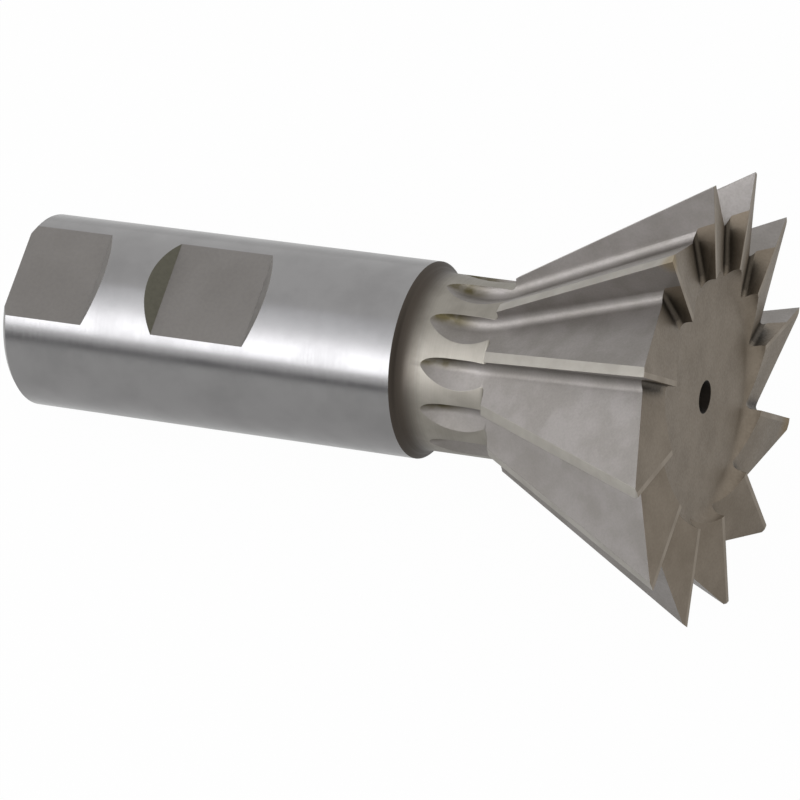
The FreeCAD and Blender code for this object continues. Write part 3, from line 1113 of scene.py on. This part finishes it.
    def gash(self) -> bpy.types.Object:
        """An end gash: rake wall, small fillet and a facet that rises to the next end tooth.

        Returns:
            The volume to take off.
        """
        s = self.sizes
        relief, dish = radians(s.end_relief), radians(s.dish_angle)
        slope = atan(tan(relief) * sin(s.pitch) - tan(dish) * cos(s.pitch))
        height = (tan(relief) - tan(radians(s.end_land_relief))) * s.end_land - tan(dish) * s.tip_radius
        facet = atan((tan(relief) * cos(s.pitch) + tan(dish) * sin(s.pitch)) * cos(slope))
        setback = s.gash_fillet / tan((pi / 2 - facet) / 2)
        side = s.tip_radius * sin(s.pitch)
        top = s.tooth_depth
        section = [(0.0, top), *arc(
            (0.0, setback), (setback * cos(facet), setback * sin(facet)),
            s.gash_fillet, 1, self.fillet_steps),
            (side, side * tan(facet)), (side, top)]
        along = Vector((cos(slope), 0.0, -sin(slope)))
        above = Vector((sin(slope), 0.0, cos(slope)))
        origin = Vector((0.0, 0.0, height))
        rings = [[origin + along * way + above * up + Vector((0.0, aside + self.wall_gap, 0.0))
                  for aside, up in section]
                 for way in (0.0, s.tip_radius + 2 * self.margin)]
        return swept("gash", rings, self.finishes[Finish.END_FACE])

    def worn_tip(self, wear: WornTip) -> bpy.types.Object:
        """What use has rounded off one tooth's tip, right across the tooth.

        Args:
            wear: The tooth and its radius.

        Returns:
            The volume to take off.
        """
        s = self.sizes
        corner = radians(s.cutting_angle)
        setback = wear.radius / tan(corner / 2)
        tip = s.tip_radius - self.edge_strip
        end_start = (tip - setback, 0.0)
        side_start = (tip - setback * cos(corner), -setback * sin(corner))
        section = [*arc(end_start, side_start, wear.radius, -1, self.fillet_steps),
                   (side_start[0] + cos(s.cone), side_start[1] - sin(s.cone)),
                   (tip + 2 * self.margin, self.margin), (end_start[0], self.margin)]
        turn = Matrix.Rotation(s.pitch * wear.tooth, 3, "Z")
        rings = [[turn @ Vector((out, across, up)) for out, up in section]
                 for across in (-self.worn_behind, self.margin)]
        return swept("worn_tip", rings, self.finishes[Finish.GROUND_LAND])

    def build(self) -> list[bpy.types.Object]:
        """Builds all four cutters, in the order of their work."""
        return [self.flute(), self.gash(), self.side_land(), self.end_land()]


class CutRound:
    """A node tree that takes one cutter's volume out of the blank at equal steps round the axis.

    Where it has cut, the steel gets the finish that this cutter leaves.
    """

    MARK = "cut_here"

    def __init__(self) -> None:
        """Builds the tree once."""
        self.tree = bpy.data.node_groups.new("cut_round", "GeometryNodeTree")
        face = self.tree.interface
        face.new_socket("Geometry", in_out="INPUT", socket_type="NodeSocketGeometry")
        self.cutter = face.new_socket("Cutter", in_out="INPUT", socket_type="NodeSocketObject")
        self.count = face.new_socket("Count", in_out="INPUT", socket_type="NodeSocketInt")
        self.finish = face.new_socket("Finish", in_out="INPUT", socket_type="NodeSocketMaterial")
        face.new_socket("Geometry", in_out="OUTPUT", socket_type="NodeSocketGeometry")
        tree = self.tree
        given = add_node(tree, "NodeGroupInput")
        cutter = add_node(tree, "GeometryNodeObjectInfo", {"Object": given.outputs["Cutter"]},
                          transform_space="RELATIVE")
        stations = add_node(tree, "GeometryNodeMeshLine",
                            {"Count": given.outputs["Count"], "Offset": (0.0, 0.0, 0.0)})
        number = add_node(tree, "GeometryNodeInputIndex")
        share = add_node(tree, "ShaderNodeMath", {0: number.outputs[0], 1: given.outputs["Count"]},
                         operation="DIVIDE")
        turn = add_node(tree, "ShaderNodeMath", {0: share.outputs[0], 1: 2 * pi}, operation="MULTIPLY")
        angles = add_node(tree, "ShaderNodeCombineXYZ", {2: turn.outputs[0]})
        round_axis = add_node(tree, "GeometryNodeInstanceOnPoints", {
            "Points": stations.outputs["Mesh"],
            "Instance": self.marked(cutter.outputs["Geometry"], True),
            "Rotation": angles.outputs[0]})
        cut = add_node(tree, "GeometryNodeMeshBoolean", {
            "Mesh 1": self.marked(given.outputs["Geometry"], False),
            "Mesh 2": round_axis.outputs["Instances"]},
            operation="DIFFERENCE", solver="EXACT")
        real = add_node(tree, "GeometryNodeRealizeInstances", {"Geometry": cut.outputs["Mesh"]})
        cut_here = add_node(tree, "GeometryNodeInputNamedAttribute", {"Name": self.MARK},
                            data_type="BOOLEAN")
        dressed = add_node(tree, "GeometryNodeSetMaterial", {
            "Geometry": real.outputs["Geometry"], "Selection": cut_here.outputs["Attribute"],
            "Material": given.outputs["Finish"]})
        add_node(tree, "NodeGroupOutput", {"Geometry": dressed.outputs["Geometry"]})

    def marked(self, geometry: bpy.types.NodeSocket, value: bool) -> bpy.types.NodeSocket:
        """Marks every face of a geometry.

        Args:
            geometry: The geometry.
            value: Whether this cutter leaves its faces.

        Returns:
            The marked geometry.
        """
        return add_node(self.tree, "GeometryNodeStoreNamedAttribute", {
            "Geometry": geometry, "Name": self.MARK, "Value": value},
            data_type="BOOLEAN", domain="FACE").outputs["Geometry"]

    def apply(self, work: bpy.types.Object, cutter: bpy.types.Object, count: int) -> None:
        """Cuts the work with one cutter at so many places, and leaves a plain mesh.

        Args:
            work: The piece that is cut.
            cutter: The cutter's volume, which is used up.
            count: How many places there are.
        """
        modifier = work.modifiers.new(cutter.name, "NODES")
        modifier.node_group = self.tree
        modifier[self.cutter.identifier] = cutter
        modifier[self.count.identifier] = count
        modifier[self.finish.identifier] = cutter.data.materials[0]
        evaluated = work.evaluated_get(bpy.context.evaluated_depsgraph_get())
        mesh = bpy.data.meshes.new_from_object(evaluated)
        work.modifiers.clear()
        work.data = mesh
        name = cutter.name
        bpy.data.objects.remove(cutter)
        LOG.info("after %s: %d faces, materials %s", name, len(mesh.polygons),
                 [material.name for material in mesh.materials])


@dataclass
class Cutter:
    """The whole tool, as one piece.

    Args:
        sizes: The cutter's sizes.
        finishes: The materials by finish.
        sharp_angle: Angle in degrees past which two faces meet in a sharp edge.
        merge_mm: How close two corners are merged once all is cut.
        sliver_mm: How narrow a face is dropped as a sliver.
    """

    sizes: CutterSizes
    finishes: dict[Finish, bpy.types.Material]
    sharp_angle: float = 28.0
    merge_mm: float = 2e-3
    sliver_mm: float = 1e-3

    def build(self) -> bpy.types.Object:
        """Turns, mills and grinds the tool, wears its tips and lays it down.

        Returns:
            The tool.
        """
        work = TurnedBlank(self.sizes, self.finishes).build()
        rounds = CutRound()
        for flat in ShankFlats(self.sizes, self.finishes[Finish.MILLED_FLAT]).build():
            rounds.apply(work, flat, 1)
        head = HeadCutters(self.sizes, self.finishes)
        for cutter in head.build():
            rounds.apply(work, cutter, self.sizes.tooth_count)
        for wear in WORN_TIPS:
            rounds.apply(work, head.worn_tip(wear), 1)
        self.clean(work.data)
        work.data.transform(PLACEMENT @ Matrix.Scale(MM, 4))
        work.name = PIECE
        work.data.name = PIECE
        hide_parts(NODE)
        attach(work, "root")
        return work

    def clean(self, mesh: bpy.types.Mesh) -> None:
        """Merges doubles and sets smooth shading between the sharp edges.

        Args:
            mesh: The tool's mesh, in millimetres.
        """
        shell = bmesh.new()
        shell.from_mesh(mesh)
        bmesh.ops.remove_doubles(shell, verts=shell.verts, dist=self.merge_mm)
        bmesh.ops.dissolve_degenerate(shell, edges=shell.edges, dist=self.sliver_mm)
        shell.to_mesh(mesh)
        shell.free()
        if CutRound.MARK in mesh.attributes:
            mesh.attributes.remove(mesh.attributes[CutRound.MARK])
        for polygon in mesh.polygons:
            polygon.use_smooth = True
        mesh.set_sharp_from_angle(angle=radians(self.sharp_angle))


# Stage: floor, lamps and camera

@dataclass(frozen=True)
class Card:
    """An upright curved card round the tool.

    Args:
        name: The card's name.
        azimuth: Its middle, in degrees from -Y towards +X.
        low: Elevation of its lower edge, in degrees.
        high: Elevation of its upper edge, in degrees.
        spread: Half its width, in degrees.
        distance: Its distance in metres.
    """

    name: str
    azimuth: float
    low: float
    high: float
    spread: float
    distance: float


@dataclass(frozen=True)
class Stage:
    """Pale floor and soft studio light.

    Args:
        floor_half: Half the floor's width in metres.
        floor_colour: The floor's own colour, where the tool's shadow falls on it.
        floor_glow: How white the floor is to the camera.
        mirrored_glow: How white the floor is in the steel.
        world_glow: Strength of the world as a light. To the camera and in the steel it is 1.
        white: Colour of the floor's glow, of the world and of the pale card.
        softbox_card: Large light to the front left.
        softbox_colour: Its slightly cool white.
        softbox_fade: Rising elevations in degrees, and its strength at each.
        dark_card: Dark card below the softbox.
        dark_tones: Its two colours.
        dark_clouds: How many clouds of them there are in a metre.
        pale_card: Low pale card to the left.
        pale_glow: Its strength.
    """

    floor_half: float = 3.0
    floor_colour: str = "dcdcda"
    floor_glow: float = 0.98
    mirrored_glow: float = 0.52
    world_glow: float = 0.55
    white: str = "ffffff"
    softbox_card: Card = Card("softbox", azimuth=-38.0, low=13.0, high=62.0, spread=38.0, distance=0.9)
    softbox_colour: str = "fbfcff"
    softbox_fade: tuple[Point, Point, Point] = ((28.0, 4.4), (42.0, 2.1), (62.0, 1.0))
    dark_card: Card = Card("dark_card", azimuth=-30.0, low=0.5, high=7.5, spread=20.0, distance=0.25)
    dark_tones: tuple[str, str] = ("343238", "8a888e")
    dark_clouds: float = 28.0
    pale_card: Card = Card("fill_card", azimuth=-70.0, low=1.0, high=12.0, spread=16.0, distance=0.3)
    pale_glow: float = 2.2

    def floor(self) -> bpy.types.Object:
        """A pale floor, white to the camera but for the tool's shadow.

        Returns:
            The floor.
        """
        half = self.floor_half
        mesh = bpy.data.meshes.new("floor")
        mesh.from_pydata([(-half, -half, 0), (half, -half, 0), (half, half, 0), (-half, half, 0)],
                         [], [(0, 1, 2, 3)])
        material = empty_material("pale_paper")
        tree = material.node_tree
        paper = add_node(tree, "ShaderNodeBsdfDiffuse", {"Color": linear(self.floor_colour)})
        glow = add_node(tree, "ShaderNodeEmission", {"Color": linear(self.white), "Strength": 1.0})
        path = add_node(tree, "ShaderNodeLightPath")
        seen = add_node(tree, "ShaderNodeMath", {
            0: path.outputs["Is Camera Ray"], 1: self.floor_glow}, operation="MULTIPLY")
        mirrored = add_node(tree, "ShaderNodeMath", {
            0: path.outputs["Is Glossy Ray"], 1: path.outputs["Is Transmission Ray"]},
            operation="MAXIMUM")
        share = add_node(tree, "ShaderNodeMath", {
            0: mirrored.outputs[0], 1: self.mirrored_glow, 2: seen.outputs[0]},
            operation="MULTIPLY_ADD", use_clamp=True)
        mixed = add_node(tree, "ShaderNodeMixShader", {
            0: share.outputs[0], 1: paper.outputs[0], 2: glow.outputs[0]})
        add_node(tree, "ShaderNodeOutputMaterial", {"Surface": mixed.outputs[0]})
        mesh.materials.append(material)
        floor = placed("floor", mesh)
        return floor

    def world(self) -> None:
        """White world for camera and reflections, softer as a light."""
        world = bpy.data.worlds.new("studio")
        bpy.context.scene.world = world
        world.use_nodes = True
        tree = world.node_tree
        tree.nodes.clear()
        path = add_node(tree, "ShaderNodeLightPath")
        direct = add_node(tree, "ShaderNodeMath", {
            0: path.outputs["Is Camera Ray"], 1: path.outputs["Is Glossy Ray"]}, operation="MAXIMUM")
        shown = add_node(tree, "ShaderNodeMath", {
            0: direct.outputs[0], 1: path.outputs["Is Transmission Ray"]}, operation="MAXIMUM")
        strength = add_node(tree, "ShaderNodeMapRange", {
            "Value": shown.outputs[0], "To Min": self.world_glow, "To Max": 1.0})
        glow = add_node(tree, "ShaderNodeBackground", {
            "Color": linear(self.white), "Strength": strength.outputs[0]})
        add_node(tree, "ShaderNodeOutputWorld", {"Surface": glow.outputs[0]})

    def card(self, spec: Card,
             surface: Callable[[bpy.types.NodeTree], bpy.types.NodeSocket]) -> bpy.types.Object:
        """Stands a card up, seen by reflections and light only.

        Args:
            spec: Its name, size and place.
            surface: Adds its shader to a tree, and returns the shader's output.

        Returns:
            The card.
        """
        columns, rows = 24, 12
        points, faces = [], []
        for row in range(rows + 1):
            lift = radians(spec.low + (spec.high - spec.low) * row / rows)
            for column in range(columns + 1):
                way = radians(spec.azimuth + spec.spread * (2 * column / columns - 1))
                points.append((spec.distance * cos(lift) * sin(way),
                               -spec.distance * cos(lift) * cos(way), spec.distance * sin(lift)))
        for row in range(rows):
            for column in range(columns):
                first = row * (columns + 1) + column
                faces.append((first, first + 1, first + columns + 2, first + columns + 1))
        mesh = bpy.data.meshes.new(spec.name)
        mesh.from_pydata(points, [], faces)
        material = empty_material(spec.name)
        add_node(material.node_tree, "ShaderNodeOutputMaterial",
                 {"Surface": surface(material.node_tree)})
        mesh.materials.append(material)
        card = placed(spec.name, mesh)
        card.visible_camera = False
        return card

    def fading_light(self, tree: bpy.types.NodeTree) -> bpy.types.NodeSocket:
        """The softbox's light: bright along its lower part and fading towards its top.

        Args:
            tree: The softbox's node tree.

        Returns:
            The light's output.
        """
        distance = self.softbox_card.distance
        place = add_node(tree, "ShaderNodeTexCoord")
        parts = add_node(tree, "ShaderNodeSeparateXYZ", {0: place.outputs["Object"]})
        low, high = (add_node(tree, "ShaderNodeMapRange", {
            "Value": parts.outputs["Z"], "From Min": distance * sin(radians(start)),
            "From Max": distance * sin(radians(stop)), "To Min": bright, "To Max": dim})
            for (start, bright), (stop, dim) in zip(self.softbox_fade, self.softbox_fade[1:]))
        both = add_node(tree, "ShaderNodeMath", {0: low.outputs[0], 1: high.outputs[0]},
                        operation="ADD")
        fade = add_node(tree, "ShaderNodeMath", {0: both.outputs[0], 1: self.softbox_fade[1][1]},
                        operation="SUBTRACT")
        return add_node(tree, "ShaderNodeEmission", {
            "Color": linear(self.softbox_colour), "Strength": fade.outputs[0]}).outputs[0]

    def dark_paint(self, tree: bpy.types.NodeTree) -> bpy.types.NodeSocket:
        """The dark card's cloudy paint.

        Args:
            tree: The card's node tree.

        Returns:
            The paint's output.
        """
        first, second = self.dark_tones
        place = add_node(tree, "ShaderNodeTexCoord")
        cloud = add_node(tree, "ShaderNodeTexNoise", {
            "Vector": place.outputs["Object"], "Scale": self.dark_clouds})
        shade = add_node(tree, "ShaderNodeMix", {
            MIX_SHARE: cloud.outputs[0], MIX_FIRST: linear(first), MIX_SECOND: linear(second)},
            data_type="RGBA")
        return add_node(tree, "ShaderNodeBsdfDiffuse",
                        {"Color": shade.outputs[MIX_RESULT]}).outputs[0]

    def pale_light(self, tree: bpy.types.NodeTree) -> bpy.types.NodeSocket:
        """The pale card's even light."""
        return add_node(tree, "ShaderNodeEmission", {
            "Color": linear(self.white), "Strength": self.pale_glow}).outputs[0]

    def build(self) -> None:
        """Builds the floor, the world and the cards.

        The dark card draws the dark line under the highlight, and the pale one lights the tooth
        backs that look down to the left.
        """
        self.floor()
        self.world()
        self.card(self.softbox_card, self.fading_light)
        self.card(self.dark_card, self.dark_paint)
        self.card(self.pale_card, self.pale_light)


@dataclass(frozen=True)
class PhotoCamera:
    """The photograph's viewpoint, worked out from the tips, the shank's edges and the shoulder.

    Args:
        position: Where it stands, in metres.
        forward: The way that it looks.
        down: The way that is down in the picture.
        focal_pixels: Its focal length in the picture's pixels.
        image_pixels: The picture's width.
        sensor: The sensor's width in millimetres.
        near: Distance in metres from which it sees.
    """

    position: tuple[float, float, float] = (0.16808, -0.37477, 0.39233)
    forward: tuple[float, float, float] = (-0.296835, 0.670915, -0.679531)
    down: tuple[float, float, float] = (0.243013, -0.635103, -0.733205)
    focal_pixels: float = 4322.0
    image_pixels: float = 800.0
    sensor: float = 36.0
    near: float = 0.01

    def build(self) -> bpy.types.Object:
        """Builds the camera and makes it the scene's own.

        Returns:
            The camera.
        """
        data = bpy.data.cameras.new("camera")
        data.sensor_width = self.sensor
        data.lens = self.sensor * self.focal_pixels / self.image_pixels
        data.clip_start = self.near
        camera = placed("camera", data)
        back = -Vector(self.forward).normalized()
        up = -Vector(self.down).normalized()
        right = up.cross(back)
        matrix = Matrix((right, up, back)).transposed().to_4x4()
        matrix.translation = Vector(self.position)
        camera.matrix_world = matrix
        bpy.context.scene.camera = camera
        return camera


def main() -> None:
    """Builds the stage and the tool."""
    logging.basicConfig(level=logging.INFO, format="%(message)s")
    bpy.context.scene.view_settings.view_transform = "Standard"
    PhotoCamera().build()
    Stage().build()
    tool = Cutter(SIZES, build_finishes()).build()
    LOG.info("%s: %d faces", tool.name, len(tool.data.polygons))


if __name__ == "__main__":
    main()
